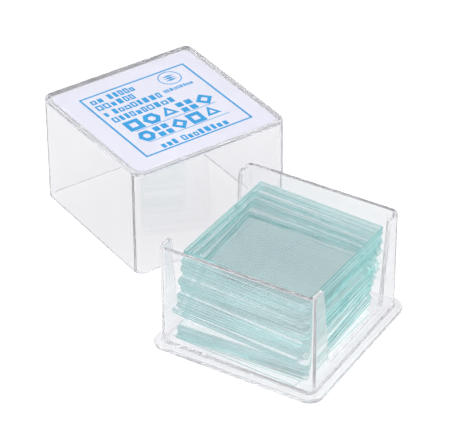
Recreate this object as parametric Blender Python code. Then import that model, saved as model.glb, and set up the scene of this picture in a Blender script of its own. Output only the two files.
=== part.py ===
"""Open box of microscope cover glasses.

A clear moulded tray holds a pack of loose square glasses. Its lid, with a card label under the roof,
stands beside it on the same surface. The origin is the centre of the tray's underside, +Z is up, and the
tray's two full-height walls run along X.
"""

import math
import random

import bmesh
import bpy
from mathutils import Matrix, Vector

MM = 0.001

# Cover glasses
GLASS_SIDE = 22.0 * MM
GLASS_THICKNESS = 0.14 * MM
GLASS_EDGE = 0.02 * MM
GLASS_PITCH = 0.157 * MM
PACK_COUNT = 100
GLASS_NODES = 57

# Tray
TRAY_SIDE = 27.2 * MM
TRAY_HEIGHT = 18.5 * MM
TRAY_WALL = 0.75 * MM
TRAY_CORNER = 1.2 * MM
FLOOR_THICKNESS = 1.0 * MM
FLANGE_SIDE = 29.8 * MM
FLANGE_THICKNESS = 0.7 * MM
FLANGE_CORNER = 2.4 * MM
FLANGE_EDGE = 0.25 * MM

# Finger notches in the tray's two open sides, narrower at the sill than at the top
SILL_HEIGHT = 3.6 * MM
NOTCH_SILL_WIDTH = 16.8 * MM
NOTCH_TOP_WIDTH = 20.8 * MM
NOTCH_CORNER = 0.5 * MM
NOTCH_LIP = 0.5 * MM

# Lid, a little wider at the rim than at the roof so that it leaves its mould
LID_RIM_SIDE = 29.2 * MM
LID_ROOF_SIDE = 29.05 * MM
LID_HEIGHT = 19.5 * MM
LID_WALL = 0.85 * MM
LID_ROOF = 1.0 * MM
LID_CORNER = 1.6 * MM
LID_TOP_EDGE = 0.35 * MM
LID_CEILING_EDGE = 0.1 * MM
LID_PLACE = (-33.1 * MM, 19.0 * MM, 0.0)
LID_TURN = math.radians(-24.6)

# Label card under the lid's roof
CARD_SIDE = 27.0 * MM
CARD_THICKNESS = 0.3 * MM
CARD_CORNER = 1.4 * MM
CARD_GAP = 0.03 * MM
CARD_TURN = math.radians(0.5)

# How the pack leans and slips in the tray: bundles from the floor up, as (glasses, shift along X in mm,
# shift along Y in mm, turn in degrees, slope in degrees). A slope lifts a bundle's left-hand end.
BUNDLES = (
    (1, -0.25, -1.2, -3.2, 0.0),
    (1, -0.6, -0.6, 1.0, 0.0),
    (3, -1.1, -0.5, 2.6, 0.0),
    (6, -0.3, -0.9, 1.6, 0.0),
    (12, 0.0, -1.1, 2.4, 0.0),
    (6, -0.6, -1.3, -0.8, 3.4),
    (11, 0.1, -1.0, 0.5, 3.2),
    (10, 0.45, -1.3, -1.0, 2.9),
    (8, 0.9, -1.1, -1.2, 2.6),
    (13, 0.7, -1.4, 0.2, 2.3),
    (13, 1.2, -1.2, -1.8, 2.0),
    (8, 1.35, -1.4, -1.2, 1.7),
    (8, 1.55, -1.4, -1.4, 1.5),
)
BULGE = 0.45 * MM
SLIP = 0.08 * MM
TWIST = math.radians(0.25)
WALL_CLEARANCE = 0.05 * MM
LAYER_GAP = 0.03 * MM
PACK_SEED = 22

CORNER_SEGMENTS = 8
NOTCH_SEGMENTS = 5
COLLECTION_NAME = "cover_glass_box"


def clear_scene():
    for item in list(bpy.data.objects):
        bpy.data.objects.remove(item, do_unlink=True)


def make_collection(name):
    collection = bpy.data.collections.new(name)
    bpy.context.scene.collection.children.link(collection)
    return collection


def make_material(name, colour, roughness, transmission=0.0, ior=1.45):
    material = bpy.data.materials.new(name)
    material.use_nodes = True
    shader = material.node_tree.nodes["Principled BSDF"]
    shader.inputs["Base Color"].default_value = (*colour, 1.0)
    shader.inputs["Roughness"].default_value = roughness
    shader.inputs["Metallic"].default_value = 0.0
    shader.inputs["Transmission Weight"].default_value = transmission
    shader.inputs["IOR"].default_value = ior
    return material


def bevel_edges(shape, edges, width, segments):
    bmesh.ops.bevel(shape, geom=edges, offset=width, segments=segments, profile=0.5,
                    affect="EDGES", clamp_overlap=True)


def is_vertical(edge):
    run = edge.verts[1].co - edge.verts[0].co
    return abs(run.z) > 4 * math.hypot(run.x, run.y)


def lies_at(edge, height):
    return all(abs(vertex.co.z - height) < 1e-7 for vertex in edge.verts)


def prism_shape(side_low, side_high, z_low, z_high, corner, low_edge=0.0, high_edge=0.0):
    """A square prism with rounded corners, which may taper and have rounded rims."""
    shape = bmesh.new()
    bmesh.ops.create_cube(shape, size=1.0)
    for vertex in shape.verts:
        high = vertex.co.z > 0
        side = side_high if high else side_low
        vertex.co.x *= side
        vertex.co.y *= side
        vertex.co.z = z_high if high else z_low
    bevel_edges(shape, [edge for edge in shape.edges if is_vertical(edge)], corner, CORNER_SEGMENTS)
    for width, height in ((low_edge, z_low), (high_edge, z_high)):
        if width > 0:
            rim = [edge for edge in shape.edges if lies_at(edge, height)]
            bevel_edges(shape, rim, width, 4)
    return shape


def add_object(name, shape, collection, material=None):
    mesh = bpy.data.meshes.new(name)
    shape.to_mesh(mesh)
    shape.free()
    item = bpy.data.objects.new(name, mesh)
    collection.objects.link(item)
    if material:
        mesh.materials.append(material)
    return item


def add_cutter(name, shape, collection):
    cutter = add_object(name, shape, collection)
    cutter.hide_render = True
    cutter.display_type = "WIRE"
    return cutter


def add_boolean(item, cutter, operation):
    modifier = item.modifiers.new(f"{operation.lower()}_{cutter.name}", "BOOLEAN")
    modifier.operation = operation
    modifier.solver = "EXACT"
    modifier.object = cutter


def smooth(item):
    item.data.shade_smooth()
    item.data.set_sharp_from_angle(angle=math.radians(40))


def rounded_corner(before, corner, after, radius):
    """Points along the arc that rounds off one corner of a profile in the YZ plane."""
    inward = (before - corner).normalized()
    onward = (after - corner).normalized()
    half = inward.angle(onward) / 2
    centre = corner + (inward + onward).normalized() * radius / math.sin(half)
    start = corner + inward * radius / math.tan(half) - centre
    end = corner + onward * radius / math.tan(half) - centre
    steps = [step / NOTCH_SEGMENTS for step in range(NOTCH_SEGMENTS + 1)]
    return [centre + start.slerp(end, step) * radius for step in steps]


def notch_shape():
    """A bar along X that opens both finger notches at once: wider at the top, with rounded corners."""
    above = Vector((0, 2 * MM))
    middle = Vector((0, SILL_HEIGHT))
    low = Vector((NOTCH_SILL_WIDTH / 2, SILL_HEIGHT))
    high = Vector((NOTCH_TOP_WIDTH / 2, TRAY_HEIGHT))
    outside = Vector((TRAY_SIDE / 2, TRAY_HEIGHT))
    half = rounded_corner(middle, low, high, NOTCH_CORNER) + rounded_corner(low, high, outside, NOTCH_LIP)
    half.append(half[-1] + above)
    outline = half + [Vector((-point.x, point.y)) for point in reversed(half)]
    shape = bmesh.new()
    end = shape.faces.new([shape.verts.new((-TRAY_SIDE, point.x, point.y)) for point in outline])
    grown = bmesh.ops.extrude_face_region(shape, geom=[end])["geom"]
    moved = [item for item in grown if isinstance(item, bmesh.types.BMVert)]
    bmesh.ops.translate(shape, verts=moved, vec=(2 * TRAY_SIDE, 0, 0))
    bmesh.ops.recalc_face_normals(shape, faces=shape.faces)
    return shape


def build_tray(collection, cutters, material):
    foot = prism_shape(FLANGE_SIDE, FLANGE_SIDE, 0, FLANGE_THICKNESS, FLANGE_CORNER,
                       high_edge=FLANGE_EDGE)
    tray = add_object("base_tray", foot, collection, material)
    walls = prism_shape(TRAY_SIDE, TRAY_SIDE, FLANGE_THICKNESS / 2, TRAY_HEIGHT, TRAY_CORNER)
    add_boolean(tray, add_cutter("tray_walls", walls, cutters), "UNION")
    room = TRAY_SIDE - 2 * TRAY_WALL
    well = prism_shape(room, room, FLOOR_THICKNESS, TRAY_HEIGHT + 2 * MM, TRAY_CORNER - TRAY_WALL)
    add_boolean(tray, add_cutter("tray_well", well, cutters), "DIFFERENCE")
    add_boolean(tray, add_cutter("finger_notches", notch_shape(), cutters), "DIFFERENCE")
    smooth(tray)
    return tray


def build_lid(collection, cutters, clear_plastic, card):
    """The lid and its label hang on one empty, which sets where the lid stands and how it is turned."""
    place = bpy.data.objects.new("lid_place", None)
    collection.objects.link(place)
    place.location = LID_PLACE
    place.rotation_euler = (0, 0, LID_TURN)

    outside = prism_shape(LID_RIM_SIDE, LID_ROOF_SIDE, 0, LID_HEIGHT, LID_CORNER,
                          high_edge=LID_TOP_EDGE)
    lid = add_object("lid_shell", outside, collection, clear_plastic)
    slant = (LID_RIM_SIDE - LID_ROOF_SIDE) / LID_HEIGHT
    below = 1 * MM
    ceiling = LID_HEIGHT - LID_ROOF
    rim_room = LID_RIM_SIDE - 2 * LID_WALL + slant * below
    roof_room = LID_RIM_SIDE - 2 * LID_WALL - slant * ceiling
    inside = prism_shape(rim_room, roof_room, -below, ceiling, LID_CORNER - LID_WALL,
                         high_edge=LID_CEILING_EDGE)
    cutter = add_cutter("lid_inside", inside, cutters)
    add_boolean(lid, cutter, "DIFFERENCE")
    smooth(lid)

    card_top = ceiling - CARD_GAP
    sheet = prism_shape(CARD_SIDE, CARD_SIDE, card_top - CARD_THICKNESS, card_top, CARD_CORNER)
    label = add_object("label_card", sheet, collection, card)
    label.rotation_euler = (0, 0, CARD_TURN)

    for item in (lid, cutter, label):
        item.parent = place
    return lid, label


def glass_mesh(material):
    """One cover glass: a thin plate with its cut edges just broken."""
    shape = bmesh.new()
    bmesh.ops.create_cube(shape, size=1.0)
    bmesh.ops.scale(shape, vec=(GLASS_SIDE, GLASS_SIDE, GLASS_THICKNESS), verts=shape.verts)
    bevel_edges(shape, list(shape.edges), GLASS_EDGE, 1)
    mesh = bpy.data.meshes.new("cover_glass")
    shape.to_mesh(mesh)
    shape.free()
    mesh.materials.append(material)
    return mesh


def kept_in_tray(shift, turn):
    """A glass's shift along X or Y, held back where its corner would meet a wall."""
    room = TRAY_SIDE / 2 - TRAY_WALL - WALL_CLEARANCE
    reach = GLASS_SIDE / 2 * (math.cos(turn) + math.sin(abs(turn)))
    free = room - reach
    return max(-free, min(free, shift))


def pack_places():
    """Where each glass of the pack lies, from the floor up."""
    chance = random.Random(PACK_SEED)
    reach = TRAY_SIDE / 2 - TRAY_WALL
    places = []
    centre = FLOOR_THICKNESS + LAYER_GAP + GLASS_THICKNESS / 2
    fall = 0.0
    for count, shift_x, shift_y, turn, lean in BUNDLES:
        slope = math.radians(lean)
        if math.tan(slope) != fall:
            centre += LAYER_GAP + abs(math.tan(slope) - fall) * reach
            fall = math.tan(slope)
        for glass in range(count):
            spin = math.radians(turn) + chance.uniform(-TWIST, TWIST)
            inset = BULGE * (abs(2 * glass / max(count - 1, 1) - 1) - 0.5)
            x = kept_in_tray(shift_x * MM + inset + chance.uniform(-SLIP, SLIP), spin)
            y = kept_in_tray(shift_y * MM + chance.uniform(-SLIP, SLIP), spin)
            z = centre - fall * x
            places.append(Matrix.Translation((x, y, z)) @ Matrix.Rotation(slope, 4, "Y")
                          @ Matrix.Rotation(spin, 4, "Z"))
            centre += GLASS_PITCH
    return places


def node_layers():
    """The layers made as objects: all of the topmost ones, and every other one below them."""
    spread = PACK_COUNT - GLASS_NODES
    return list(range(0, 2 * spread, 2)) + list(range(2 * spread, PACK_COUNT))


def build_pack(collection, material):
    mesh = glass_mesh(material)
    places = pack_places()
    for layer in node_layers():
        glass = bpy.data.objects.new(f"cover_glass_{layer + 1:03d}", mesh)
        glass.matrix_world = places[layer]
        collection.objects.link(glass)


def main():
    clear_scene()
    collection = make_collection(COLLECTION_NAME)
    cutters = make_collection("cutters")
    clear_plastic = make_material("clear_polystyrene", (0.90, 0.91, 0.93), 0.06, 0.9, 1.59)
    glass = make_material("cover_glass", (0.62, 0.83, 0.80), 0.03, 0.9, 1.52)
    card = make_material("label_card", (0.90, 0.90, 0.94), 0.65)
    build_tray(collection, cutters, clear_plastic)
    build_lid(collection, cutters, clear_plastic, card)
    build_pack(collection, glass)


main()
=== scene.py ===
import math
import random

import bmesh
import bpy
from mathutils import Matrix, Vector


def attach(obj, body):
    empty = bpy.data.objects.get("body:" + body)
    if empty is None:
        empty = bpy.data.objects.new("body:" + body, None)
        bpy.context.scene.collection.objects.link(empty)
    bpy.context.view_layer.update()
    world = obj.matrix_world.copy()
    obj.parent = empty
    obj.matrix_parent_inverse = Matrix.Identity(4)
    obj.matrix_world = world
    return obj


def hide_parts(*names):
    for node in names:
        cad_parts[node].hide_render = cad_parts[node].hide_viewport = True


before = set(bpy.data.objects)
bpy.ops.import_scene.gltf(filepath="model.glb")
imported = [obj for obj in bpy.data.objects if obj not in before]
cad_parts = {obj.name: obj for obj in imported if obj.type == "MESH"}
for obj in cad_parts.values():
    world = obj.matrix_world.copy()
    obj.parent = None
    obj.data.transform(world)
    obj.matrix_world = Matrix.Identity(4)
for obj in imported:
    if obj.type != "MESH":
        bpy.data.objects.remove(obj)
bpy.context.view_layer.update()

# The box of cover glasses. Metres, Z up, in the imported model's frame: the centre of the tray's underside
# is the origin, the tray's notched sides face +X and -X, and the lid stands behind the tray on its rim.

MM = 0.001

# Camera: the point it looks at, and where it stands from there.
CAMERA_TARGET = (-16.07 * MM, 10.25 * MM, 9.0 * MM)
CAMERA_DISTANCE = 393.7 * MM
CAMERA_AZIMUTH = math.radians(31.52)
CAMERA_ELEVATION = math.radians(34.80)
CAMERA_ROLL = math.radians(-0.544)
CAMERA_LENS = 196.55
CAMERA_SENSOR = 36.0

# Glasses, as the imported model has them.
GLASS_SIDE = 22.0 * MM
GLASS_THICKNESS = 0.14 * MM
GLASS_EDGE = 0.02 * MM
GLASS_PITCH = 0.157 * MM
PACK_COUNT = 100
GLASS_NODES = 57
# (glasses, shift along X in mm, shift along Y in mm, turn in degrees, slope in degrees)
BUNDLES = (
    (1, -0.25, -1.2, -3.2, 0.0),
    (1, -0.6, -0.6, 1.0, 0.0),
    (3, -1.1, -0.5, 2.6, 0.0),
    (6, -0.3, -0.9, 1.6, 0.0),
    (12, 0.0, -1.1, 2.4, 0.0),
    (6, -0.6, -1.3, -0.8, 3.4),
    (11, 0.1, -1.0, 0.5, 3.2),
    (10, 0.45, -1.3, -1.0, 2.9),
    (8, 0.9, -1.1, -1.2, 2.6),
    (13, 0.7, -1.4, 0.2, 2.3),
    (13, 1.2, -1.2, -1.8, 2.0),
    (8, 1.35, -1.4, -1.2, 1.7),
    (8, 1.55, -1.4, -1.4, 1.5),
)
BULGE = 0.45 * MM
SLIP = 0.08 * MM
TWIST = math.radians(0.25)
WALL_CLEARANCE = 0.05 * MM
LAYER_GAP = 0.03 * MM
PACK_SEED = 22

# Tray. A middle is half a side less its corner radius, and is the same for every outline of one part.
TRAY_SIDE = 27.2 * MM
TRAY_HEIGHT = 18.5 * MM
TRAY_WALL = 0.75 * MM
TRAY_MIDDLE = 12.4 * MM
FLOOR_THICKNESS = 1.0 * MM
FLANGE_SIDE = 29.8 * MM
FLANGE_THICKNESS = 0.7 * MM
FLANGE_MIDDLE = 12.5 * MM
SILL_HEIGHT = 3.6 * MM
NOTCH_SILL_WIDTH = 16.8 * MM
NOTCH_TOP_WIDTH = 20.8 * MM
NOTCH_CORNER = 0.5 * MM
NOTCH_LIP = 0.5 * MM
FOOT_ROUND = 0.1 * MM
FLANGE_ROUND = 0.25 * MM
WALL_FOOT_ROUND = 0.2 * MM
RIM_ROUND = 0.12 * MM
WELL_ROUND = 0.12 * MM

# Lid.
LID_RIM_SIDE = 29.2 * MM
LID_ROOF_SIDE = 29.05 * MM
LID_HEIGHT = 19.5 * MM
LID_WALL = 0.85 * MM
LID_ROOF = 1.0 * MM
LID_MIDDLE = 12.95 * MM
LID_TOP_ROUND = 0.35 * MM
LID_RIM_ROUND = 0.12 * MM
LID_CEILING_ROUND = 0.1 * MM
LID_PLACE = (-33.1 * MM, 19.0 * MM, 0.0)
LID_TURN = math.radians(-24.6)

CORNER_STEPS = 14
ROUND_STEPS = 4
NOTCH_STEPS = 6

# Label card and its print, which faces up through the lid's roof. Print sizes are in mm. Across runs down
# the card from line to line, and along runs in the reading direction.
CARD_SIDE = 27.0 * MM
CARD_THICKNESS = 0.3 * MM
CARD_MIDDLE = 12.1 * MM
CARD_EDGE = 0.04 * MM
CARD_GAP = 0.03 * MM
CARD_TURN = math.radians(0.5)
PRINT_PLACE = (0.24 * MM, 0.25 * MM)
PRINT_TURN = math.radians(0.3)
PRINT_LIFT = 0.002 * MM
PRINT_THICKNESS = 0.012 * MM
FRAME_SIDE = 20.6
FRAME_LINE = 0.35
# (across, from, to, height)
SMALL_ROWS = (
    (-8.45, -9.1, 0.8, 1.55),
    (-6.35, -9.2, -1.8, 1.55),
    (-4.15, -9.2, 2.2, 1.55),
    (-1.85, -8.9, 2.4, 1.55),
    (-4.45, 2.7, 8.9, 0.85),
    (8.9, -6.6, 6.7, 1.5),
)
# (across, from, to, shapes)
TITLE_ROWS = (
    (1.15, -8.5, 8.6, ("square", "hexagon", "triangle", "grid", "diamond")),
    (5.05, -8.4, 7.4, ("hexagon", "grid", "diamond", "square", "triangle")),
)
# (sides, degrees to the first corner)
SHAPES = {"triangle": (3, 180), "square": (4, 45), "diamond": (4, 0), "hexagon": (6, 30)}
TITLE_HEIGHT = 3.1
TITLE_STROKE = 0.88
TITLE_FILL = 0.84
ROUND_REACH = 1.12
GRID_CELL = 0.42
GRID_STEP = 0.29
RULES = (
    (2.95, -7.55, 7.9),
    (6.85, -7.5, 8.1),
)
RULE_LINE = 0.14
# Blocks in the small rows, as shares of the row's height.
BLOCK_WIDTHS = (0.5, 0.75)
BLOCK_HEIGHTS = (1.0, 1.0, 0.78)
BLOCK_LINE = 0.21
BLOCK_GAP = 0.13
WORD_GAP = 0.6
ROW_SLACK = 0.4
# How often a block is hollow and how often a group of blocks ends, and how much narrower a solid block is.
HOLLOW_SHARE = 0.45
WORD_SHARE = 0.14
SOLID_WIDTH = 0.8
MARK_PLACE = (-7.65, 5.9)
MARK_RADIUS = 2.05
MARK_LINE = 0.2
MARK_SIDES = 40
MARK_STEP = 0.62
MARK_DIAMOND = (0.26, 1.15)
PRINT_SEED = 5

# Looks. Grains are in features per metre.
GRAIN_RANGE = (0.3, 0.7)
PLASTIC_IOR = 1.59
PLASTIC_TINTS = ((0.95, 0.95, 0.96), (0.97, 0.97, 0.98))
# (how level the surface is, haze): upright walls, rounded edges, level faces
PLASTIC_HAZE = ((0.0, 0.08), (0.25, 0.3), (0.9, 0.3), (0.98, 0.01))
PLASTIC_FLOW_GRAIN = 90
PLASTIC_WAVE_GRAIN = 260
PLASTIC_WAVES = 0.003 * MM
PLASTIC_SCUFF_GRAIN = 900
PLASTIC_SCUFF_STRETCH = (1.0, 6.0, 1.0)
PLASTIC_ROUGHNESS = (0.01, 0.03)
PLASTIC_SHADE = (0.95, 0.95, 0.96)

# (tints, grain of the patches, roughness, grain of the fibre, depth of the relief)
CARD_LOOK = (((0.85, 0.85, 0.93), (0.90, 0.90, 0.97)), 200, (0.55, 0.7), 3000, 0.006 * MM)
INK_LOOK = (((0.0, 0.35, 0.74), (0.0, 0.39, 0.80)), 1200, (0.4, 0.6), 4000, 0.003 * MM)
MATT_GLOSS = 0.15

# The glasses' cut edges, with painted shade that makes them darker towards their left-hand end, and their
# large faces.
GLASS_IOR = 1.52
GLASS_EDGE_TINTS = ((0.20, 0.58, 0.56), (0.66, 0.97, 0.93))
GLASS_EDGE_GRAIN = (40, 40, 2000)
GLASS_EDGE_ROUGHNESS = (0.0, 0.02)
GLASS_PALEST = (0.15, 1)
GLASS_PAINTED_SHADE_END = (-14 * MM, -4 * MM)
GLASS_CUT_GRAIN = (500, 500, 30)
GLASS_CUT_RELIEF = 0.0008 * MM
GLASS_FACE_TINTS = ((0.9963, 0.9976, 0.9976), (0.9967, 0.9978, 0.9978))
GLASS_BODY_TINTS = ((0.995, 1.0, 1.0), (1.0, 1.0, 1.0))
GLASS_DRAW_GRAIN = (60, 400, 60)
GLASS_DRAW_RELIEF = 0.0002 * MM
FACE_LEVEL = 0.9

# Stage. The room's bands are in the height of a direction, and the back's is in how far it points that way.
FLOOR_REACH = 3.0
FLOOR_DROP = 0.01 * MM
BACK_WAY = (-0.52, 0.85, 0.0)
BACK_BAND = (0.4, 0.75)
BACK_GREY = (0.08, 0.08, 0.09)
SIDE_GREY = (0.26, 0.26, 0.28)
HORIZON_BAND = (0.08, 0.2)
HORIZON_GREY = (0.46, 0.46, 0.47)
ZENITH_BAND = (0.6, 0.85)
WHITE = (1, 1, 1)
ROOM_LIGHT = 2.2
# To all but the camera, the table carries a painted pool of light, in its colour and its glow, only near the
# box, and a painted reflection where it is seen at a grazing angle, as if it mirrored the bright horizon.
TABLE_PAINTED_POOL = (130 * MM, 280 * MM)
TABLE_FAR = 0.15
TABLE_PAINTED_SHEEN = (0.85, 0.93)
# How much the table glows: to other rays, and to the camera.
TABLE_GLOW = (0.6, 0.95)
TABLE_ALBEDO = 0.3
TABLE_ROUGHNESS = 0.7
LIGHT_BOUNCES = 200
CLEAR_BOUNCES = 512
WORLD_MAP_SIZE = 256


# Node helpers


def new_material(name):
    """An empty node material, with its tree and its output node."""
    material = bpy.data.materials.new(name)
    material.use_nodes = True
    tree = material.node_tree
    tree.nodes.clear()
    return material, tree, tree.nodes.new("ShaderNodeOutputMaterial")


def connect(tree, value, target):
    """Link a value that is an output socket, and set any other."""
    if isinstance(value, bpy.types.NodeSocket):
        tree.links.new(value, target)
    else:
        target.default_value = value


def add_node(tree, kind, **values):
    """A node with its inputs given by name, as output sockets or as values."""
    node = tree.nodes.new(kind)
    for name, value in values.items():
        connect(tree, value, node.inputs[name.replace("_", " ")])
    return node


def combine(tree, operation, first, second=0.0):
    """A number worked out from one or two others."""
    node = tree.nodes.new("ShaderNodeMath")
    node.operation = operation
    connect(tree, first, node.inputs[0])
    connect(tree, second, node.inputs[1])
    return node.outputs[0]


def remap(tree, value, old=(0.0, 1.0), new=(0.0, 1.0), run="LINEAR"):
    """A number carried from one range to another, and held at the ends."""
    span = add_node(
        tree,
        "ShaderNodeMapRange",
        Value=value,
        From_Min=old[0],
        From_Max=old[1],
        To_Min=new[0],
        To_Max=new[1],
    )
    span.interpolation_type = run
    return span.outputs["Result"]


def mix_shaders(tree, share, first, second):
    """The second shader for a share of the light, and the first for the rest."""
    mix = tree.nodes.new("ShaderNodeMixShader")
    connect(tree, share, mix.inputs[0])
    tree.links.new(first.outputs[0], mix.inputs[1])
    tree.links.new(second.outputs[0], mix.inputs[2])
    return mix


def colour(red, green, blue):
    """A colour socket's value."""
    return (red, green, blue, 1.0)


# Materials


def grain(tree, scale, detail=2.0, stretch=None):
    """A noise value, fixed to the object. The scale is in features per metre."""
    where = tree.nodes.new("ShaderNodeTexCoord").outputs["Object"]
    if stretch:
        where = add_node(tree, "ShaderNodeMapping", Vector=where, Scale=stretch).outputs["Vector"]
    noise = add_node(tree, "ShaderNodeTexNoise", Vector=where, Scale=scale, Detail=detail)
    return noise.outputs["Fac"]


def spread(tree, value, low=0, high=1):
    """A noise value laid out between two numbers."""
    return remap(tree, value, GRAIN_RANGE, (low, high))


def blend_colours(tree, share, first, second):
    """From the first colour to the second. Each may be an output socket."""
    mix = tree.nodes.new("ShaderNodeMix")
    mix.data_type = "RGBA"
    connect(tree, share, mix.inputs["Factor"])
    for name, value in (("A", first), ("B", second)):
        connect(tree, colour(*value) if isinstance(value, tuple) else value, mix.inputs[name])
    return mix.outputs["Result"]


def relief(tree, value, depth):
    return add_node(tree, "ShaderNodeBump", Height=value, Distance=depth).outputs["Normal"]


def clearness(tree):
    """How much of the light goes through the plastic, by how level the surface is."""
    normal = tree.nodes.new("ShaderNodeTexCoord").outputs["Normal"]
    parts = add_node(tree, "ShaderNodeSeparateXYZ", Vector=normal)
    level = combine(tree, "ABSOLUTE", parts.outputs["Z"])
    ramp = add_node(tree, "ShaderNodeValToRGB", Fac=level)
    stops = ramp.color_ramp.elements
    while len(stops) < len(PLASTIC_HAZE):
        stops.new(1.0)
    for stop, (slant, haze) in zip(stops, PLASTIC_HAZE):
        stop.position = slant
        stop.color = colour(*(1.0 - haze,) * 3)
    return ramp.outputs["Color"]


def clear_plastic():
    """Clear moulded polystyrene, slightly wavy and scuffed. Shadow and diffuse rays go straight on."""
    material, tree, output = new_material("clear_polystyrene")
    flow = grain(tree, PLASTIC_FLOW_GRAIN)
    scuffs = grain(tree, PLASTIC_SCUFF_GRAIN, 4.0, PLASTIC_SCUFF_STRETCH)
    surface = add_node(
        tree,
        "ShaderNodeBsdfPrincipled",
        Base_Color=blend_colours(tree, spread(tree, flow), *PLASTIC_TINTS),
        Roughness=spread(tree, scuffs, *PLASTIC_ROUGHNESS),
        IOR=PLASTIC_IOR,
        Transmission_Weight=clearness(tree),
        Normal=relief(tree, grain(tree, PLASTIC_WAVE_GRAIN), PLASTIC_WAVES),
    )
    path = add_node(tree, "ShaderNodeLightPath")
    straight = combine(tree, "MAXIMUM", path.outputs["Is Shadow Ray"], path.outputs["Is Diffuse Ray"])
    shade = add_node(tree, "ShaderNodeBsdfTransparent", Color=colour(*PLASTIC_SHADE))
    mix = mix_shaders(tree, straight, surface, shade)
    tree.links.new(mix.outputs[0], output.inputs["Surface"])
    return material


def matt(name, tints, patches, roughness, fibre, depth):
    """A matt surface that varies in colour and roughness, with a fine relief."""
    material, tree, output = new_material(name)
    surface = add_node(
        tree,
        "ShaderNodeBsdfPrincipled",
        Base_Color=blend_colours(tree, spread(tree, grain(tree, patches, 4.0)), *tints),
        Roughness=spread(tree, grain(tree, fibre), *roughness),
        Specular_IOR_Level=MATT_GLOSS,
        Normal=relief(tree, grain(tree, fibre, 4.0), depth),
    )
    tree.links.new(surface.outputs[0], output.inputs["Surface"])
    return material


def glass_edge():
    """The glasses' narrow sides, which light piped along a glass leaves with a green tint. Painted shade
    darkens them towards their left-hand end.
    """
    material, tree, output = new_material("cover_glass_edge")
    layers = grain(tree, 1.0, 1.0, GLASS_EDGE_GRAIN)
    where = tree.nodes.new("ShaderNodeTexCoord").outputs["Object"]
    parts = add_node(tree, "ShaderNodeSeparateXYZ", Vector=where)
    # Painted shade: the edge colour darkens towards the glasses' left-hand end.
    right = remap(tree, parts.outputs["X"], GLASS_PAINTED_SHADE_END)
    pale = combine(tree, "MULTIPLY", spread(tree, layers, *GLASS_PALEST), right)
    surface = add_node(
        tree,
        "ShaderNodeBsdfPrincipled",
        Base_Color=blend_colours(tree, pale, *GLASS_EDGE_TINTS),
        Roughness=spread(tree, layers, *GLASS_EDGE_ROUGHNESS),
        IOR=GLASS_IOR,
        Transmission_Weight=1.0,
        Normal=relief(tree, grain(tree, 1.0, 1.0, GLASS_CUT_GRAIN), GLASS_CUT_RELIEF),
    )
    tree.links.new(surface.outputs[0], output.inputs["Surface"])
    return material


def glass_face():
    """The large faces, with faint streaks from drawing. A ray inside the pack crosses them unbent.

    One that meets a face at more than the critical angle is either coming in from the air, and bends, or
    is piped along inside one glass.
    """
    material, tree, output = new_material("cover_glass_face")
    weight = add_node(tree, "ShaderNodeLayerWeight", Blend=0.5)
    critical = 1.0 - math.sqrt(1.0 - 1.0 / GLASS_IOR**2)
    slanted = combine(tree, "GREATER_THAN", weight.outputs["Facing"], critical)
    streaks = spread(tree, grain(tree, 1.0, 2.0, GLASS_DRAW_GRAIN))
    tint = blend_colours(tree, streaks, *GLASS_FACE_TINTS)
    through = add_node(tree, "ShaderNodeBsdfTransparent", Color=tint)
    solid = add_node(
        tree,
        "ShaderNodeBsdfGlass",
        Color=blend_colours(tree, streaks, *GLASS_BODY_TINTS),
        Roughness=0.0,
        IOR=GLASS_IOR,
        Normal=relief(tree, streaks, GLASS_DRAW_RELIEF),
    )
    mix = mix_shaders(tree, slanted, through, solid)
    tree.links.new(mix.outputs[0], output.inputs["Surface"])
    return material


# Stage


def place_camera():
    data = bpy.data.cameras.new("camera")
    data.lens = CAMERA_LENS
    data.sensor_width = CAMERA_SENSOR
    data.clip_start = 0.01
    camera = bpy.data.objects.new("camera", data)
    bpy.context.scene.collection.objects.link(camera)
    back = Vector(
        (
            math.sin(CAMERA_AZIMUTH) * math.cos(CAMERA_ELEVATION),
            -math.cos(CAMERA_AZIMUTH) * math.cos(CAMERA_ELEVATION),
            math.sin(CAMERA_ELEVATION),
        )
    )
    turn = back.to_track_quat("Z", "Y").to_matrix() @ Matrix.Rotation(CAMERA_ROLL, 3, "Z")
    place = Vector(CAMERA_TARGET) + back * CAMERA_DISTANCE
    camera.matrix_world = Matrix.Translation(place) @ turn.to_4x4()
    bpy.context.scene.camera = camera


def light_stage():
    """A room that is white to the camera. Other rays find it bright overhead, grey at the sides, darkest
    behind the box, and pale along the horizon."""
    world = bpy.data.worlds.new("studio")
    bpy.context.scene.world = world
    world.use_nodes = True
    tree = world.node_tree
    tree.nodes.clear()
    output = tree.nodes.new("ShaderNodeOutputWorld")
    way = add_node(tree, "ShaderNodeTexCoord").outputs["Generated"]
    height = add_node(tree, "ShaderNodeSeparateXYZ", Vector=way).outputs["Z"]
    away = tree.nodes.new("ShaderNodeVectorMath")
    away.operation = "DOT_PRODUCT"
    connect(tree, way, away.inputs[0])
    connect(tree, BACK_WAY, away.inputs[1])
    walls = blend_colours(tree, remap(tree, away.outputs["Value"], BACK_BAND), SIDE_GREY, BACK_GREY)
    low = blend_colours(tree, remap(tree, height, HORIZON_BAND), HORIZON_GREY, walls)
    sky = blend_colours(tree, remap(tree, height, ZENITH_BAND), low, WHITE)
    room = add_node(tree, "ShaderNodeBackground", Color=sky, Strength=ROOM_LIGHT)
    backdrop = add_node(tree, "ShaderNodeBackground", Color=colour(*WHITE), Strength=1.0)
    path = add_node(tree, "ShaderNodeLightPath")
    mix = mix_shaders(tree, path.outputs["Is Camera Ray"], room, backdrop)
    tree.links.new(mix.outputs[0], output.inputs["Surface"])
    world.cycles.sampling_method = "MANUAL"
    world.cycles.sample_map_resolution = WORLD_MAP_SIZE


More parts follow.
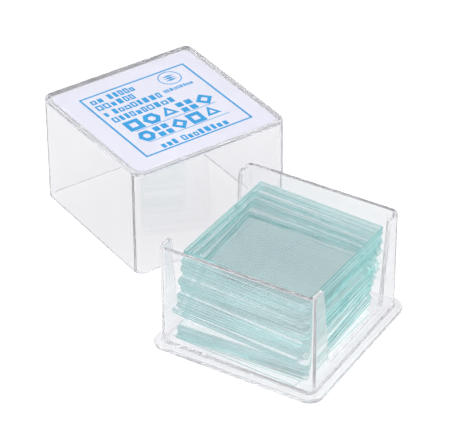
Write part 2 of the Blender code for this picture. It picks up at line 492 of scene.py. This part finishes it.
def lay_floor():
    """A table that is white to the camera. To other rays it fades away from the box: a painted pool of light
    and shade in its colour and glow, with a painted sheen at grazing angles.
    """
    mesh = bpy.data.meshes.new("floor")
    corners = [(-1, -1), (1, -1), (1, 1), (-1, 1)]
    mesh.from_pydata([(x * FLOOR_REACH, y * FLOOR_REACH, 0.0) for x, y in corners], [], [(0, 1, 2, 3)])
    floor = bpy.data.objects.new("floor", mesh)
    bpy.context.scene.collection.objects.link(floor)
    floor.location.z = -FLOOR_DROP
    material, tree, output = new_material("white_table")
    distance = tree.nodes.new("ShaderNodeVectorMath")
    distance.operation = "LENGTH"
    connect(tree, add_node(tree, "ShaderNodeNewGeometry").outputs["Position"], distance.inputs[0])
    # Painted light: the table's colour and glow fade away from the box, and brighten where it is seen at a
    # grazing angle, as a painted reflection.
    painted_pool = remap(tree, distance.outputs["Value"], TABLE_PAINTED_POOL, (1.0, TABLE_FAR), "SMOOTHSTEP")
    graze = add_node(tree, "ShaderNodeLayerWeight", Blend=0.5)
    painted_sheen = remap(tree, graze.outputs["Facing"], TABLE_PAINTED_SHEEN)
    seen = add_node(tree, "ShaderNodeLightPath").outputs["Is Camera Ray"]
    painted_light = combine(tree, "MAXIMUM", combine(tree, "MAXIMUM", seen, painted_pool), painted_sheen)
    shade = tree.nodes.new("ShaderNodeVectorMath")
    shade.operation = "SCALE"
    connect(tree, (TABLE_ALBEDO,) * 3, shade.inputs[0])
    connect(tree, painted_light, shade.inputs["Scale"])
    surface = add_node(
        tree,
        "ShaderNodeBsdfPrincipled",
        Base_Color=shade.outputs[0],
        Roughness=TABLE_ROUGHNESS,
        Emission_Color=colour(*WHITE),
        Emission_Strength=combine(tree, "MULTIPLY", remap(tree, seen, new=TABLE_GLOW), painted_light),
        Specular_IOR_Level=0.0,
    )
    tree.links.new(surface.outputs[0], output.inputs["Surface"])
    mesh.materials.append(material)


def set_rendering():
    scene = bpy.context.scene
    scene.view_settings.view_transform = "Standard"
    scene.cycles.max_bounces = LIGHT_BOUNCES
    scene.cycles.transmission_bounces = LIGHT_BOUNCES
    scene.cycles.glossy_bounces = LIGHT_BOUNCES
    scene.cycles.transparent_max_bounces = CLEAR_BOUNCES
    scene.cycles.use_denoising = True
    scene.cycles.caustics_reflective = False
    scene.cycles.caustics_refractive = False


# Glasses


def kept_in_tray(shift, turn):
    """The nearest shift that keeps a glass turned by turn clear of the tray's walls."""
    room = TRAY_SIDE / 2 - TRAY_WALL - WALL_CLEARANCE
    reach = GLASS_SIDE / 2 * (math.cos(turn) + math.sin(abs(turn)))
    free = room - reach
    return max(-free, min(free, shift))


def pack_places():
    """Where each glass of the pack lies, from the floor up."""
    chance = random.Random(PACK_SEED)
    reach = TRAY_SIDE / 2 - TRAY_WALL
    places = []
    centre = FLOOR_THICKNESS + LAYER_GAP + GLASS_THICKNESS / 2
    fall = 0.0
    for count, shift_x, shift_y, turn, lean in BUNDLES:
        slope = math.radians(lean)
        if math.tan(slope) != fall:
            centre += LAYER_GAP + abs(math.tan(slope) - fall) * reach
            fall = math.tan(slope)
        for glass in range(count):
            spin = math.radians(turn) + chance.uniform(-TWIST, TWIST)
            inset = BULGE * (abs(2 * glass / max(count - 1, 1) - 1) - 0.5)
            x = kept_in_tray(shift_x * MM + inset + chance.uniform(-SLIP, SLIP), spin)
            y = kept_in_tray(shift_y * MM + chance.uniform(-SLIP, SLIP), spin)
            z = centre - fall * x
            lie = Matrix.Rotation(slope, 4, "Y") @ Matrix.Rotation(spin, 4, "Z")
            places.append(Matrix.Translation((x, y, z)) @ lie)
            centre += GLASS_PITCH
    return places


def node_layers():
    """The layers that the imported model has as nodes: every other one at first, and all of the top ones."""
    spread = PACK_COUNT - GLASS_NODES
    return list(range(0, 2 * spread, 2)) + list(range(2 * spread, PACK_COUNT))


def glass_mesh():
    """One cover glass: a thin square with bevelled edges."""
    shape = bmesh.new()
    bmesh.ops.create_cube(shape, size=1.0)
    bmesh.ops.scale(shape, vec=(GLASS_SIDE, GLASS_SIDE, GLASS_THICKNESS), verts=shape.verts)
    bmesh.ops.bevel(shape, geom=list(shape.edges), offset=GLASS_EDGE, segments=1, affect="EDGES")
    mesh = bpy.data.meshes.new("cover_glass")
    shape.to_mesh(mesh)
    shape.free()
    return mesh


def fill_pack(materials):
    """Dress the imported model's glasses, and add those between them."""
    layers = set(node_layers())
    for layer, place in enumerate(pack_places()):
        name = f"cover_glass_{layer + 1:03d}"
        if layer in layers:
            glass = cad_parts[name]
        else:
            mesh = glass_mesh()
            mesh.transform(place)
            glass = bpy.data.objects.new(name, mesh)
            bpy.context.scene.collection.objects.link(glass)
            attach(glass, "glass_stack")
        dress_glass(glass, materials)


def dress_glass(glass, materials):
    """The first material on the narrow sides, and the second on the large faces."""
    glass.data.materials.clear()
    for material in materials:
        glass.data.materials.append(material)
    for face in glass.data.polygons:
        face.material_index = 1 if abs(face.normal.z) > FACE_LEVEL else 0
    glass.visible_shadow = False
    glass.visible_diffuse = False


# Mouldings


def arc(out, up, radius, start, stop):
    """Part of a section, as (out, up, lean), from one lean to another. A negative radius makes a hollow."""
    leans = [math.radians(start + (stop - start) * step / ROUND_STEPS) for step in range(ROUND_STEPS + 1)]
    return [(out + radius * math.cos(lean), up + radius * math.sin(lean), lean) for lean in leans]


def ring(out, up, lean, middle, line=(), base=0.0):
    """One rounded square of a moulding, anticlockwise, as points and their normals.

    The normals lean up from the outward direction. The line adds samples to the two sides that face
    along X, each as (along, height, direction square to the line), and up is counted from its height.
    """
    points = []
    for quarter in range(4):
        turn = Matrix.Rotation(quarter * math.pi / 2, 3, "Z")
        for along, height, rise in line if quarter % 2 == 0 else ():
            point = Vector((out, along, height)) + rise * up
            normal = Vector((math.cos(lean), 0, 0)) + rise * math.sin(lean)
            points.append((turn @ point, turn @ normal))
        for step in range(CORNER_STEPS + 1):
            angle = step / CORNER_STEPS * math.pi / 2
            away = Vector((math.cos(angle), math.sin(angle), 0))
            point = Vector((middle, middle, base + up)) + away * (out - middle)
            normal = away * math.cos(lean) + Vector((0, 0, math.sin(lean)))
            points.append((turn @ point, turn @ normal))
    return points


def loft(name, rings, place, material):
    """A closed solid through rings of equal length, with a flat cap on the first and on the last."""
    count = len(rings[0])
    faces = [tuple(reversed(range(count)))]
    for row in range(len(rings) - 1):
        low = row * count
        high = low + count
        for here in range(count):
            onward = (here + 1) % count
            faces.append((low + here, low + onward, high + onward, high + here))
    last = (len(rings) - 1) * count
    faces.append(tuple(range(last, last + count)))
    turn = place.to_3x3()
    mesh = bpy.data.meshes.new(name)
    mesh.from_pydata([place @ point for row in rings for point, _ in row], [], faces)
    mesh.polygons.foreach_set("use_smooth", [True] * len(mesh.polygons))
    mesh.normals_split_custom_set_from_vertices([turn @ normal for row in rings for _, normal in row])
    return add_piece(name, mesh, material)


def add_piece(name, mesh, material):
    mesh.materials.append(material)
    piece = bpy.data.objects.new(name, mesh)
    bpy.context.scene.collection.objects.link(piece)
    return piece


def rounded_corner(before, corner, after, radius):
    """The arc that rounds off one corner of a line, as points and directions from its centre."""
    inward = (before - corner).normalized()
    onward = (after - corner).normalized()
    half = inward.angle(onward) / 2
    centre = corner + (inward + onward).normalized() * radius / math.sin(half)
    start = corner + inward * radius / math.tan(half) - centre
    end = corner + onward * radius / math.tan(half) - centre
    arms = [start.slerp(end, step / NOTCH_STEPS) for step in range(NOTCH_STEPS + 1)]
    return [(centre + arm * radius, arm) for arm in arms]


def notched_line():
    """The top of a notched side from end to end, as (along, height, direction square to it)."""
    middle = Vector((0, SILL_HEIGHT))
    low = Vector((NOTCH_SILL_WIDTH / 2, SILL_HEIGHT))
    high = Vector((NOTCH_TOP_WIDTH / 2, TRAY_HEIGHT))
    outside = Vector((TRAY_SIDE / 2, TRAY_HEIGHT))
    half = [(point, -arm) for point, arm in rounded_corner(middle, low, high, NOTCH_CORNER)]
    half += rounded_corner(low, high, outside, NOTCH_LIP)
    right = [(point.x, point.y, Vector((0, rise.x, rise.y))) for point, rise in half]
    left = [(-along, height, Vector((0, -rise.y, rise.z))) for along, height, rise in reversed(right)]
    return left + right


def make_tray(material):
    """The tray, from its underside round the flange, up the walls, over their tops and in to the floor."""
    outer = TRAY_SIDE / 2
    inner = outer - TRAY_WALL
    flange = FLANGE_SIDE / 2
    notched = notched_line()
    level = [(along, 0.0, Vector((0, 0, 1))) for along, _, _ in notched]
    foot = arc(flange - FOOT_ROUND, FOOT_ROUND, FOOT_ROUND, -90, 0)
    foot += arc(flange - FLANGE_ROUND, FLANGE_THICKNESS - FLANGE_ROUND, FLANGE_ROUND, 0, 90)
    wall = arc(outer + WALL_FOOT_ROUND, FLANGE_THICKNESS + WALL_FOOT_ROUND, -WALL_FOOT_ROUND, 90, 0)
    rim = arc(outer - RIM_ROUND, -RIM_ROUND, RIM_ROUND, 0, 90)
    rim += arc(inner + RIM_ROUND, -RIM_ROUND, RIM_ROUND, 90, 180)
    well = arc(inner - WELL_ROUND, FLOOR_THICKNESS + WELL_ROUND, -WELL_ROUND, 180, 90)
    rings = [ring(*spot, FLANGE_MIDDLE, level) for spot in foot]
    rings += [ring(*spot, TRAY_MIDDLE, level) for spot in wall]
    rings += [ring(*spot, TRAY_MIDDLE, notched, TRAY_HEIGHT) for spot in rim]
    rings += [ring(*spot, TRAY_MIDDLE, level) for spot in well]
    tray = loft("clear_tray", rings, Matrix(), material)
    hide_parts("base_tray")
    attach(tray, "tray")


def lid_place():
    return Matrix.Translation(LID_PLACE) @ Matrix.Rotation(LID_TURN, 4, "Z")


def make_lid(material):
    """The lid, from its ceiling down inside the walls, round the rim and up to the roof."""
    rim = LID_RIM_SIDE / 2
    roof = LID_ROOF_SIDE / 2
    ceiling = LID_HEIGHT - LID_ROOF
    hollow = roof - LID_WALL - LID_CEILING_ROUND
    section = arc(hollow, ceiling - LID_CEILING_ROUND, -LID_CEILING_ROUND, -90, -180)
    section += arc(rim - LID_WALL + LID_RIM_ROUND, LID_RIM_ROUND, LID_RIM_ROUND, -180, -90)
    section += arc(rim - LID_RIM_ROUND, LID_RIM_ROUND, LID_RIM_ROUND, -90, 0)
    section += arc(roof - LID_TOP_ROUND, LID_HEIGHT - LID_TOP_ROUND, LID_TOP_ROUND, 0, 90)
    rings = [ring(*spot, LID_MIDDLE) for spot in section]
    lid = loft("clear_lid", rings, lid_place(), material)
    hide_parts("lid_shell")
    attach(lid, "lid")


# Label


def card_top():
    """The height of the card's printed side."""
    return LID_HEIGHT - LID_ROOF - CARD_GAP


def make_card(material):
    """The card under the lid's roof."""
    half = CARD_SIDE / 2 - CARD_EDGE
    section = arc(half, card_top() - CARD_THICKNESS + CARD_EDGE, CARD_EDGE, -90, 0)
    section += arc(half, card_top() - CARD_EDGE, CARD_EDGE, 0, 90)
    rings = [ring(*spot, CARD_MIDDLE) for spot in section]
    card = loft("paper_card", rings, lid_place() @ Matrix.Rotation(CARD_TURN, 4, "Z"), material)
    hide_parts("label_card")
    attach(card, "lid")


def print_rows(shape, outline):
    """The outline's vertices at the underside and at the top of the ink."""
    rows = []
    for height in (PRINT_LIFT, PRINT_LIFT + PRINT_THICKNESS):
        rows.append([shape.verts.new((across * MM, along * MM, height)) for across, along in outline])
    return rows


def join_rows(shape, first, second):
    for here in range(len(first)):
        onward = (here + 1) % len(first)
        shape.faces.new((first[here], first[onward], second[onward], second[here]))


def print_patch(shape, outline):
    """A closed patch of ink."""
    low, high = print_rows(shape, outline)
    join_rows(shape, low, high)
    shape.faces.new(low)
    shape.faces.new(high)


def print_band(shape, outer, inner):
    """A closed band of ink between two outlines."""
    outer_low, outer_high = print_rows(shape, outer)
    inner_low, inner_high = print_rows(shape, inner)
    join_rows(shape, outer_low, outer_high)
    join_rows(shape, outer_high, inner_high)
    join_rows(shape, inner_high, inner_low)
    join_rows(shape, inner_low, outer_low)


def box_outline(across, along, height, width):
    corners = ((-0.5, -0.5), (0.5, -0.5), (0.5, 0.5), (-0.5, 0.5))
    return [(across + u * height, along + v * width) for u, v in corners]


def round_outline(across, along, radius_across, radius_along, sides, start=0.0):
    """A regular polygon, stretched. Its first corner stands at start degrees from the across direction."""
    angles = [math.radians(start + 360 * side / sides) for side in range(sides)]
    return [(across + radius_across * math.cos(a), along + radius_along * math.sin(a)) for a in angles]


def print_title(shape, across, start, end, kinds):
    """A row of large plain shapes."""
    pitch = (end - start) / len(kinds)
    width = pitch * TITLE_FILL
    half = TITLE_HEIGHT / 2
    inside = 1 - TITLE_STROKE / half
    for place, kind in enumerate(kinds):
        along = start + pitch * (place + 0.5)
        if kind == "grid":
            print_grid(shape, across, along, width)
            continue
        sides, first = SHAPES[kind]
        full = math.sqrt(2) if kind == "square" else ROUND_REACH
        reach = (half * full, width / 2 * full)
        outer = round_outline(across, along, *reach, sides, first)
        inner = round_outline(across, along, reach[0] * inside, reach[1] * inside, sides, first)
        print_band(shape, outer, inner)


def print_grid(shape, across, along, width):
    """Four blocks, two by two."""
    for u in (-GRID_STEP, GRID_STEP):
        for v in (-GRID_STEP, GRID_STEP):
            spot = (across + u * TITLE_HEIGHT, along + v * width)
            print_patch(shape, box_outline(*spot, TITLE_HEIGHT * GRID_CELL, width * GRID_CELL))


def print_small_row(shape, across, start, end, height, chance):
    """A row of small blocks and frames in groups, in place of a line of small print."""
    along = start
    while along < end - ROW_SLACK * height:
        width = height * chance.uniform(*BLOCK_WIDTHS)
        tall = height * chance.choice(BLOCK_HEIGHTS)
        spot = (across + (height - tall) / 2, along + width / 2)
        line = BLOCK_LINE * height
        if chance.random() < HOLLOW_SHARE:
            inner = box_outline(*spot, tall - 2 * line, width - 2 * line)
            print_band(shape, box_outline(*spot, tall, width), inner)
        else:
            print_patch(shape, box_outline(*spot, tall, width * SOLID_WIDTH))
        along += width + height * (WORD_GAP if chance.random() < WORD_SHARE else BLOCK_GAP)


def print_mark(shape):
    """A plain ring round three stacked diamonds."""
    across, along = MARK_PLACE
    hole = MARK_RADIUS - MARK_LINE
    outer = round_outline(across, along, MARK_RADIUS, MARK_RADIUS, MARK_SIDES)
    inner = round_outline(across, along, hole, hole, MARK_SIDES)
    print_band(shape, outer, inner)
    for step in (-MARK_STEP, 0.0, MARK_STEP):
        print_patch(shape, round_outline(across + step, along, *MARK_DIAMOND, 4))


def make_print(material):
    """All the ink on the card, as one piece that lies just clear of it."""
    shape = bmesh.new()
    side = FRAME_SIDE - 2 * FRAME_LINE
    print_band(shape, box_outline(0, 0, FRAME_SIDE, FRAME_SIDE), box_outline(0, 0, side, side))
    chance = random.Random(PRINT_SEED)
    for row in SMALL_ROWS:
        print_small_row(shape, *row, chance)
    for row in TITLE_ROWS:
        print_title(shape, *row)
    for across, start, end in RULES:
        print_patch(shape, box_outline(across, (start + end) / 2, RULE_LINE, end - start))
    print_mark(shape)
    bmesh.ops.recalc_face_normals(shape, faces=shape.faces)
    mesh = bpy.data.meshes.new("label_print")
    shape.to_mesh(mesh)
    shape.free()
    lie = Matrix.Translation((*PRINT_PLACE, card_top())) @ Matrix.Rotation(PRINT_TURN, 4, "Z")
    mesh.transform(lid_place() @ lie)
    ink = add_piece("label_print", mesh, material)
    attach(ink, "lid")


place_camera()
light_stage()
lay_floor()
set_rendering()
plastic = clear_plastic()
make_tray(plastic)
make_lid(plastic)
make_card(matt("card_paper", *CARD_LOOK))
make_print(matt("blue_ink", *INK_LOOK))
fill_pack((glass_edge(), glass_face()))
